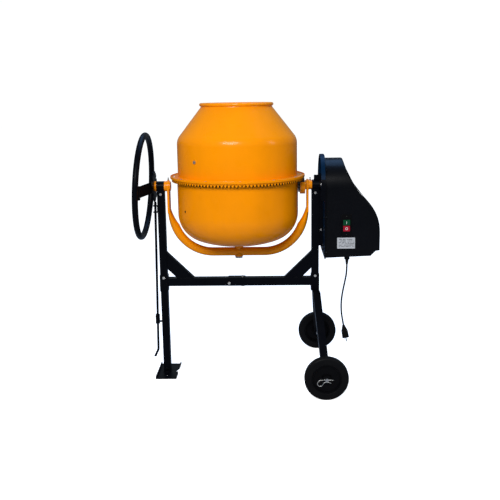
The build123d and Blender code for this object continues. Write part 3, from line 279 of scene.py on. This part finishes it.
def metal(name, colour, roughness, brush=None, spots=0.0):
    """Bare or plated metal with turning or rolling marks and a little tarnish."""
    finish = Finish(name, colour, metallic=1.0, roughness=roughness)
    cloud = finish.noise(60.0, 5.0, 0.65)
    tone = finish.mix(finish.span(cloud, 0.35, 0.72, 0.0, 0.8), colour, shade(colour, 0.62))
    if spots:
        rust = finish.noise(170.0, 7.0, 0.75)
        tone = finish.mix(finish.span(rust, 0.66, 0.74, 0.0, spots), tone, (0.12, 0.05, 0.02))
    finish.paint(tone)
    finish.rough(finish.noise(120.0, 5.0, stretch=brush), 0.3, 0.7, roughness - 0.08, roughness + 0.16)
    finish.bump(finish.noise(800.0, 4.0, stretch=brush), 0.00006, 0.5)
    return finish.material


def axis_mask(finish, axis, low, high):
    """One where a coordinate of the object lies between two values, else nothing."""
    value = finish.part(finish.place, axis)
    above = finish.calculate("GREATER_THAN", value, low)
    below = finish.calculate("LESS_THAN", value, high)
    return finish.calculate("MULTIPLY", above, below)


class Layer(Finish):
    """Further colours over a finished material, each where its mask says."""

    def __init__(self, material):
        self.material, self.tree = material, material.node_tree
        self.shader = self.tree.nodes["Principled BSDF"]
        coordinates = self.tree.nodes.new("ShaderNodeTexCoord")
        self.place, self.normal = coordinates.outputs["Object"], coordinates.outputs["Normal"]

    def cover(self, mask, colour):
        before = self.shader.inputs["Base Color"].links[0].from_socket
        self.paint(self.mix(mask, before, colour))
        return self.material


def ring_gear_enamel_painted_shade(name, colour):
    """Enamel on the ring gear where it faces outward; painted shade elsewhere: near-black between the
    teeth and on every other face, darker orange on low faces that look down.
    """
    layer = Layer(enamel(name, colour, 1.6, cast=True))
    level = layer.add("ShaderNodeVectorMath", operation="MULTIPLY_ADD")
    layer.link(layer.place, level.inputs[0])
    level.inputs[1].default_value = (1.0, 1.0, 0.0)
    level.inputs[2].default_value = (-DRUM_X, 0.0, 0.0)
    outward = layer.add("ShaderNodeVectorMath", operation="NORMALIZE")
    layer.link(level.outputs["Vector"], outward.inputs[0])
    facing = layer.add("ShaderNodeVectorMath", operation="DOT_PRODUCT")
    layer.link(outward.outputs["Vector"], facing.inputs[0])
    layer.link(layer.normal, facing.inputs[1])
    # Painted shade: near-black on faces that don't look outward, such as the gaps between the teeth
    layer.cover(layer.span(facing.outputs["Value"], 0.55, 0.75, 1.0, 0.0), (0.012, 0.004, 0.002))
    # Painted shade: darker orange on faces that look down, low on the ring
    downward = layer.span(layer.part(layer.normal, "Z"), -0.8, -0.7, 1.0, 0.0)
    painted_underside_shade = layer.calculate("MULTIPLY", downward, axis_mask(layer, "Z", 0.0, TILT_Z + 0.033))
    return layer.cover(painted_underside_shade, shade(colour, 0.45))


def plate_paint_with_painted_reflection(name, painted_sky_reflection):
    """Powder coat of the housing's back plate: black, with a painted navy sky reflection on its top and
    on faces towards the drum.
    """
    layer = Layer(powder_coat(name, BLACK))
    # Painted reflection of the sky: navy on faces that look towards the drum and on the plate's top
    layer.cover(layer.span(layer.part(layer.normal, "X"), -0.4, -0.3, 1.0, 0.0), painted_sky_reflection)
    return layer.cover(axis_mask(layer, "Z", TILT_Z + 0.04, 2.0), painted_sky_reflection)


def trunnion_enamel(name, colour):
    """Enamel on a trunnion whose end beyond the post is painted near-black brown."""
    layer = Layer(enamel(name, colour))
    return layer.cover(axis_mask(layer, "X", DRUM_X + POST_X + POST_HALF, 1.0), (0.012, 0.006, 0.004))


def bolts(name, dark, *zones):
    """Bright zinc bolts, darkened inside these zones; a zone is (axis, low, high)."""
    finish = Finish(name, ZINC, metallic=1.0, roughness=0.3)
    tarnish = finish.noise(60.0, 5.0, 0.65)
    tone = finish.mix(finish.span(tarnish, 0.35, 0.72, 0.0, 0.8), ZINC, (0.42, 0.41, 0.39))
    for zone in zones:
        tone = finish.mix(axis_mask(finish, *zone), tone, dark)
    finish.paint(tone)
    finish.rough(finish.noise(120.0, 5.0), 0.3, 0.7, 0.24, 0.45)
    finish.bump(finish.noise(800.0, 4.0), 0.00006, 0.5)
    return finish.material


def label(name):
    """Silver foil with rows of illegible grey dashes inside a plain margin."""
    finish = Finish(name, (0.55, 0.56, 0.58), metallic=0.35, roughness=0.42)
    rows = finish.calculate("PINGPONG", finish.part(finish.place, "Z"), 0.0034)
    inked = finish.span(rows, 0.0019, 0.0022, 0.0, 1.0)
    dashes = finish.span(finish.noise(210.0, 2.0, 0.6, (1.0, 1.0, 0.35)), 0.46, 0.50, 0.0, 1.0)
    ink = finish.calculate("MULTIPLY", inked, dashes)
    margin = axis_mask(finish, "X", LABEL.x - 0.038, LABEL.x + 0.038)
    field = axis_mask(finish, "Z", LABEL.z - 0.021, LABEL.z + 0.022)
    shown = finish.calculate("MULTIPLY", ink, finish.calculate("MULTIPLY", margin, field))
    foil = finish.mix(finish.noise(300.0, 3.0), (0.50, 0.51, 0.53), (0.62, 0.63, 0.65))
    finish.paint(finish.mix(shown, foil, (0.045, 0.047, 0.05)))
    finish.rough(finish.noise(160.0, 4.0), 0.3, 0.7, 0.34, 0.5)
    return finish.material


def rubber(name, colour, roughness, grain=1.0):
    """Rubber with a dull bloom and fine moulded grain."""
    finish = Finish(name, colour, roughness=roughness, specular=0.09)
    bloom = finish.noise(22.0, 5.0, 0.6)
    tone = finish.mix(finish.span(bloom, 0.4, 0.8, 0.0, 0.8), colour, (0.005, 0.005, 0.005))
    finish.paint(tone)
    finish.rough(bloom, 0.3, 0.75, roughness - 0.1, roughness + 0.15)
    finish.bump(finish.noise(1300.0, 4.0), 0.00015 * grain, 0.5)
    return finish.material


def plastic(name, colour, roughness, coat=0.0):
    """Moulded plastic with a spark-eroded grain and faint handling marks."""
    finish = Finish(name, colour, roughness=roughness, specular=0.06)
    cloud = finish.noise(35.0, 4.0)
    tone = finish.mix(finish.span(cloud, 0.35, 0.75, 0.0, 1.0), colour, shade(colour, 0.8))
    finish.paint(tone)
    finish.rough(finish.noise(90.0, 6.0, 0.7), 0.3, 0.75, roughness - 0.06, roughness + 0.12)
    finish.bump(finish.noise(2200.0, 3.0), 0.00004, 0.5)
    if coat:
        finish.coat(coat, 0.1)
    return finish.material


looks = {
    "orange": enamel("orange_enamel", ORANGE),
    "ring": ring_gear_enamel_painted_shade("orange_enamel_on_ring_gear_painted_shade", ORANGE),
    "trunnion": trunnion_enamel("orange_enamel_on_trunnion", ORANGE),
    "black": powder_coat("black_powder_coat", BLACK),
    "bar": powder_coat("handwheel_bar_coat", shade(BLACK, 0.7), 1.0, 0.7),
    "housing": powder_coat("housing_powder_coat", shade(BLACK, 0.75), 1.3, 0.42, 0.16),
    "plate": plate_paint_with_painted_reflection("plate_powder_coat_painted_reflection", (0.0014, 0.012, 0.034)),
    "zinc": metal("bright_zinc", ZINC, 0.28, spots=0.15),
    "steel": metal("turned_steel", (0.50, 0.50, 0.50), 0.32, (1.0, 20.0, 20.0)),
    "bronze": metal("sintered_bronze", (0.52, 0.35, 0.16), 0.42),
    "motor_alloy": metal("motor_alloy", (0.42, 0.43, 0.45), 0.45, spots=0.1),
    "pulley_iron": metal("machined_iron", (0.22, 0.22, 0.23), 0.42, spots=0.35),
    "belt_rubber": rubber("belt_rubber", (0.006, 0.006, 0.007), 0.7),
    "tyre_rubber": rubber("tyre_rubber", (0.0028, 0.0028, 0.0034), 0.50, 1.4),
    "wheel_plastic": plastic("wheel_plastic", (0.0026, 0.0026, 0.0032), 0.38),
    "switch_plastic": plastic("switch_plastic", (0.0028, 0.0028, 0.0033), 0.34),
    "green_plastic": plastic("green_plastic", (0.003, 0.062, 0.024), 0.30, coat=0.2),
    "red_plastic": plastic("red_plastic", (0.36, 0.008, 0.025), 0.30, coat=0.2),
    "label_foil": label("label_foil"),
    # Darkened: frame bolts on the motor side and in the foot, and the drum's lower wall bolts
    "frame_bolts": bolts("frame_bolt_zinc", (0.012, 0.013, 0.016),
                         ("X", DRUM_X + 0.4080, 1.0), ("Z", -1.0, 0.06)),
    "drum_bolts": bolts("drum_bolt_zinc", (0.05, 0.022, 0.012), ("Z", 0.84, 0.88)),
    "dull_steel": metal("dull_prong_metal", (0.13, 0.125, 0.115), 0.45, spots=0.3),
    "mark_white": plastic("mark_white", (0.75, 0.75, 0.74), 0.4),
    "weld_orange": enamel("orange_enamel_on_weld", shade(ORANGE, 0.8), 2.0),
    "weld_black": powder_coat("black_powder_coat_on_weld", BLACK, 2.0, 0.3),
    "cord_rubber": rubber("cord_rubber", (0.0032, 0.0032, 0.0036), 0.45),
}


def dress(piece, look):
    """Give a piece one finish all over."""
    slots = piece.data.materials
    if len(slots):
        for index in range(len(slots)):
            slots[index] = looks[look]
    else:
        slots.append(looks[look])


own_looks = {"drive_cover": "housing", "back_plate": "plate", "frame_bolts": "frame_bolts",
             "drum_bolts": "drum_bolts", "plug_prongs": "dull_steel", "ring_gear": "ring",
             "right_trunnion": "trunnion", "handwheel_bar": "bar"}
for row in frame["record"]["subparts"]:
    dress(nodes[row["node"]], own_looks.get(row["node"], row["material_slot"]))
dress(cord, "cord_rubber")


# ---------------------------------------------------------------- small pieces
def finish_mesh(name, vertices, faces, body, look, smooth=True):
    """Mesh object from its parts, dressed and riding on a body."""
    data = bpy.data.meshes.new(name)
    data.from_pydata([tuple(place) for place in vertices], [], faces)
    data.update()
    builder = bmesh.new()
    builder.from_mesh(data)
    bmesh.ops.recalc_face_normals(builder, faces=builder.faces)
    builder.to_mesh(data)
    builder.free()
    for polygon in data.polygons:
        polygon.use_smooth = smooth
    piece = bpy.data.objects.new(name, data)
    scene.collection.objects.link(piece)
    dress(piece, look)
    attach(piece, body)


def sampled(corners, step, closed):
    """Evenly spaced places along straight runs between corners."""
    ends = corners[1:] + corners[:1] if closed else corners[1:]
    places = []
    for start, end in zip(corners, ends):
        count = max(1, round((end - start).length / step))
        places += [start.lerp(end, index / count) for index in range(count)]
    if not closed:
        places.append(corners[-1])
    return places


def spokes(aside, over, sides):
    """Ways out from a point, evenly round the plane of two others."""
    turns = [2 * math.pi * side / sides for side in range(sides)]
    return [math.cos(turn) * aside + math.sin(turn) * over for turn in turns]


def band(first, second, sides):
    """Faces between two rings of a tube."""
    return [(first * sides + side, first * sides + (side + 1) % sides,
             second * sides + (side + 1) % sides, second * sides + side) for side in range(sides)]


def caps(rings, sides):
    """Both end faces of a tube."""
    return [tuple(reversed(range(sides))), tuple((rings - 1) * sides + side for side in range(sides))]


def weld(name, corners, radius, body, look, closed=False):
    """Weld bead: a rippled, slightly uneven half-buried tube along a route."""
    step, sides = 0.0012, 8
    aslant = Vector((0.31, 0.57, 0.76))
    places = sampled([Vector(corner) for corner in corners], step, closed)
    count = len(places)
    vertices = []
    for index, place in enumerate(places):
        before = places[index - 1] if closed or index else places[0]
        after = places[(index + 1) % count] if closed or index < count - 1 else places[-1]
        way = (after - before).normalized()
        aside = way.cross(aslant).normalized()
        over = way.cross(aside)
        ripple = 1 + 0.13 * math.sin(index * 2.1) + 0.08 * math.sin(index * 0.37 + 1.3)
        fade = 1.0 if closed else min(1.0, 0.45 + 0.25 * min(index, count - 1 - index))
        size = radius * ripple * fade
        vertices += [place + size * spoke for spoke in spokes(aside, over, sides)]
    bands = count if closed else count - 1
    faces = [face for index in range(bands) for face in band(index, (index + 1) % count, sides)]
    if not closed:
        faces += caps(count, sides)
    finish_mesh(name, vertices, faces, body, look)


def lathe(name, profile, place, way, body, look, sides, ripple):
    """Turned piece: profile of (along, radius), along one way from a place; ripple scales each radius."""
    way = Vector(way).normalized()
    aside = way.cross(Vector((0.21, 0.93, 0.3))).normalized()
    over = way.cross(aside)
    vertices = []
    for along, radius in profile:
        for side, spoke in enumerate(spokes(aside, over, sides)):
            size = radius * ripple(side, along)
            vertices.append(Vector(place) + along * way + size * spoke)
    rings = len(profile)
    faces = [face for index in range(rings - 1) for face in band(index, index + 1, sides)]
    finish_mesh(name, vertices, faces + caps(rings, sides), body, look)


def circle(centre, radius, axis, count=72, shape=None):
    """Places round a circle square to X, Y or Z; shape may move each one."""
    places = []
    for index in range(count):
        turn = 2 * math.pi * index / count
        first, second = radius * math.cos(turn), radius * math.sin(turn)
        offset = {"X": (0, first, second), "Y": (first, 0, second), "Z": (first, second, 0)}[axis]
        place = Vector(centre) + Vector(offset)
        places.append(shape(place) if shape else place)
    return places


def square_loop(x, y_half, z_low, z_high):
    """Corners of a loop round a box section that runs along X."""
    return [(x, -y_half, z_low), (x, y_half, z_low), (x, y_half, z_high), (x, -y_half, z_high)]


def frame_weld(name, corners, radius, closed=False):
    """Black bead on the frame; its route is open unless said."""
    weld(name, corners, radius, "frame", "weld_black", closed)


def yoke_weld(name, corners, radius, closed=True):
    """Orange bead on the yoke; its route is closed unless said."""
    weld(name, corners, radius, "yoke", "weld_orange", closed)


def add_brace_welds(hand, side):
    """Beads along both sides of a brace's two faces, and over its top."""
    inner = DRUM_X + side * (POST_X - POST_HALF)
    far = inner - side * BRACE_FAR
    near = inner - side * BRACE_NEAR
    top = BEAM_Z + BEAM_HALF
    for y in (-BRACE_HALF, BRACE_HALF):
        upright = [(inner, y, BRACE_LOW + BEAD_INSET), (inner, y, BRACE_HIGH - BEAD_INSET)]
        frame_weld(f"{hand}_brace_post_weld", upright, 0.0018)
        frame_weld(f"{hand}_brace_beam_weld", [(far, y, top), (near, y, top)], 0.0018)
    over = [(inner, -BRACE_HALF, BRACE_HIGH), (inner, BRACE_HALF, BRACE_HIGH)]
    frame_weld(f"{hand}_brace_top_weld", over, 0.0020)


def add_frame_welds():
    """Beads where the frame's tubes meet."""
    outward = (0.003, 0.008, 0.013, 0.0178)
    across = [-y for y in reversed(outward)] + list(outward)
    for side, hand in ((-1, "left"), (1, "right")):
        post = DRUM_X + side * POST_X
        sleeve = DRUM_X + side * (POST_X - SLEEVE_HALF)
        around = square_loop(sleeve, BEAM_HALF, BEAM_Z - BEAM_HALF, BEAM_Z + BEAM_HALF)
        frame_weld(f"{hand}_beam_weld", around, 0.0022, closed=True)
        add_brace_welds(hand, side)
        for face in (-POST_HALF, POST_HALF):
            saddle = [(post + face, y, TILT_Z - math.sqrt(BEARING_R ** 2 - y ** 2)) for y in across]
            frame_weld(f"{hand}_bearing_weld", saddle, 0.0017)
    leg = DRUM_X - POST_X
    corners = ((-1, -1), (1, -1), (1, 1), (-1, 1))
    foot = [(leg + x * POST_HALF, y * POST_HALF, FOOT_TOP) for x, y in corners]
    frame_weld("foot_weld", foot, 0.0024, closed=True)
    edge = DRUM_X + POST_X + POST_HALF
    low, high = BRACKET_LOW + 2 * BEAD_INSET, BRACKET_HIGH - 2 * BEAD_INSET
    for y in (-POST_HALF, POST_HALF):
        frame_weld("bracket_weld", [(edge, y, low), (edge, y, high)], 0.0016)


def add_yoke_welds():
    """Beads above and below the hub, round both trunnions and beside the pinion guard."""
    for way in (-1, 1):
        def on_tube(place, way=way):
            place.z = YOKE_BOTTOM + way * math.sqrt(YOKE_TUBE_R ** 2 - place.y ** 2)
            return place
        loop = circle((DRUM_X, 0, YOKE_BOTTOM), HUB_R + BEAD_OUT, "Z", 60, on_tube)
        yoke_weld("hub_weld", loop, 0.0022)
    for side, hand in ((-1, "left"), (1, "right")):
        loop = circle((DRUM_X + side * TRUNNION_X, 0, TILT_Z), TRUNNION_R[hand] + BEAD_OUT, "X")
        yoke_weld(f"{hand}_trunnion_weld", loop, 0.0020)
    beside_guard = (DRUM_X + 0.3345, -0.0295)
    ends = [(*beside_guard, TILT_Z - 0.02), (*beside_guard, TILT_Z + 0.012)]
    yoke_weld("guard_weld", ends, 0.0018, closed=False)


def add_start_mark(place):
    """A bar with round ends on the start button."""
    half_width, half_height, half_depth = 0.0012, 0.0060, 0.0002
    sides = 24
    outline = []
    for index in range(sides):
        turn = 2 * math.pi * index / sides
        rise = math.copysign(half_height - half_width, math.sin(turn)) + half_width * math.sin(turn)
        outline.append((half_width * math.cos(turn), rise))
    vertices = [place + Vector((x, depth, z)) for depth in (-half_depth, half_depth) for x, z in outline]
    faces = caps(2, sides) + band(0, 1, sides)
    finish_mesh("start_mark", vertices, faces, "start_button", "mark_white", smooth=False)


def add_stop_mark(place):
    """A flat ring on the stop button."""
    inner, outer, half_depth = 0.0042, 0.0062, 0.0002
    sides = 40
    section = ((inner, -half_depth), (outer, -half_depth), (outer, half_depth), (inner, half_depth))
    vertices = []
    for radius, depth in section:
        vertices += circle(place + Vector((0, depth, 0)), radius, "Y", sides)
    faces = [face for ring in range(4) for face in band(ring, (ring + 1) % 4, sides)]
    finish_mesh("stop_mark", vertices, faces, "stop_button", "mark_white", smooth=False)


def add_switch_screws():
    """Two small cross-head screws, above and below the buttons."""
    depth, notch, sides = 0.0002, 0.72, 24
    head = [(0.0, 0.0002), (depth, 0.0019), (0.0007, 0.0027), (0.0016, 0.0024)]
    for z in (SWITCH.z - SCREW_OFFSET, SWITCH.z + SCREW_OFFSET):
        place = (SWITCH.x, SWITCH.y - 0.0046, z)
        lathe("switch_screw", head, place, (0, 1, 0), "frame", "dull_steel", sides,
              lambda side, along: notch if along == depth and side % 6 == 0 else 1.0)


def add_gland_ribs():
    """Bend relief: raised rings down the gland's taper."""
    step, top_radius, narrowing = 0.0035, 0.0080, 0.0030 / 0.024
    for index in range(6):
        drop = step * (index + 1)
        loop = circle((GLAND.x, GLAND.y, GLAND.z - drop), top_radius - narrowing * drop, "Z", 40)
        weld("gland_rib", loop, 0.00075, "frame", "cord_rubber", closed=True)


add_frame_welds()
add_yoke_welds()
add_start_mark(SWITCH + Vector((0, -BUTTON_PROUD, BUTTON_OFFSET)))
add_stop_mark(SWITCH + Vector((0, -BUTTON_PROUD, -BUTTON_OFFSET)))
add_switch_screws()
add_gland_ribs()


# ---------------------------------------------------------------- stage
def lit_for_camera(tree, seen, lighting):
    """Mix two shaders: one that the camera sees directly, one that lights everything else."""
    path = tree.nodes.new("ShaderNodeLightPath")
    mixer = tree.nodes.new("ShaderNodeMixShader")
    tree.links.new(path.outputs["Is Camera Ray"], mixer.inputs["Fac"])
    tree.links.new(lighting, mixer.inputs[1])
    tree.links.new(seen, mixer.inputs[2])
    return mixer.outputs["Shader"]


def make_stage():
    """Pale floor and white surroundings, which also light the machine softly."""
    bpy.ops.mesh.primitive_plane_add(size=60)
    floor = bpy.context.object
    floor.name = "floor"
    finish = Finish("pale_floor", (0.93, 0.93, 0.93), roughness=0.9, specular=0.05)
    finish.paint(finish.mix(finish.noise(0.6), (0.92, 0.92, 0.92), (0.95, 0.95, 0.95)))
    glow = finish.add("ShaderNodeEmission")
    glow.inputs["Strength"].default_value = 0.85
    both = finish.add("ShaderNodeAddShader")
    finish.link(finish.shader.outputs["BSDF"], both.inputs[0])
    finish.link(glow.outputs["Emission"], both.inputs[1])
    bounce = finish.add("ShaderNodeBsdfDiffuse")
    bounce.inputs["Color"].default_value = (0.46, 0.46, 0.47, 1.0)
    surface = lit_for_camera(finish.tree, both.outputs["Shader"], bounce.outputs["BSDF"])
    finish.link(surface, finish.tree.nodes["Material Output"].inputs["Surface"])
    floor.data.materials.append(finish.material)

    world = bpy.data.worlds.new("studio")
    scene.world = world
    world.use_nodes = True
    tree = world.node_tree
    seen = tree.nodes["Background"]
    seen.inputs["Color"].default_value = (1.0, 1.0, 1.0, 1.0)
    seen.inputs["Strength"].default_value = 1.02
    lighting = tree.nodes.new("ShaderNodeBackground")
    lighting.inputs["Color"].default_value = (0.78, 0.90, 1.0, 1.0)
    lighting.inputs["Strength"].default_value = WORLD_LIGHT
    tree.links.new(lit_for_camera(tree, seen.outputs["Background"], lighting.outputs["Background"]),
                   tree.nodes["World Output"].inputs["Surface"])


def area_light(name, place, target, size, power, colour=(1.0, 1.0, 1.0)):
    """Soft box aimed at a point."""
    data = bpy.data.lights.new(name, "AREA")
    data.shape = "RECTANGLE"
    data.size, data.size_y = size
    data.energy = power
    data.color = colour
    light = bpy.data.objects.new(name, data)
    light.location = place
    light.rotation_euler = (Vector(target) - Vector(place)).to_track_quat("-Z", "Y").to_euler()
    scene.collection.objects.link(light)


make_stage()
area_light("key", (-0.72, -3.4, 2.9), (-0.1, 0, 0.9), (1.8, 1.2), 132)
area_light("sky", (0.2, 1.2, 3.8), (0, 0, 0.9), (3.0, 2.2), 85, (0.24, 0.50, 1.0))
area_light("streak", (3.4, -1.2, 2.4), (-0.1, 0, 1.1), (0.5, 1.6), 16)
scene.view_settings.view_transform = "Standard"
